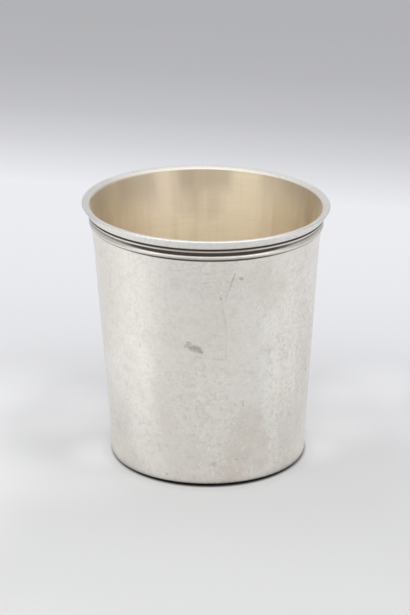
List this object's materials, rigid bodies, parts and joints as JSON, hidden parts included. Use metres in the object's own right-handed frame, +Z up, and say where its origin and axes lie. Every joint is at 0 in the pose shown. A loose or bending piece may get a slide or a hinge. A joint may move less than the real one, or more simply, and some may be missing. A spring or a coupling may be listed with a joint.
{
  "type": "drinking cup",
  "caption": "Straight tapered drinking cup with a let-in base, half-round threads under a flared lip wire, and a gilded inside.",
  "frame": {"origin": "middle of the foot, at the level of the table", "axes": "+Z up along the axis of the cup, +Y to the back, where the seam of the wall is"},
  "size_m": [0.0742, 0.0742, 0.08],
  "materials": {
    "silver": "worn polish, close to satin, with fine scratches and dark tarnish in the grooves",
    "solder": "filed silver solder, slightly greyer than the sheet",
    "gilt": "pale worn gilding, satin"
  },
  "bodies": {
    "root": {"body_wall": "silver", "seam_solder": "solder", "base_disc": "silver", "base_solder": "solder", "lip_wire": "silver", "upper_thread": "silver", "lower_thread": "silver", "gilt_lining": "gilt"}
  },
  "joints": []
}
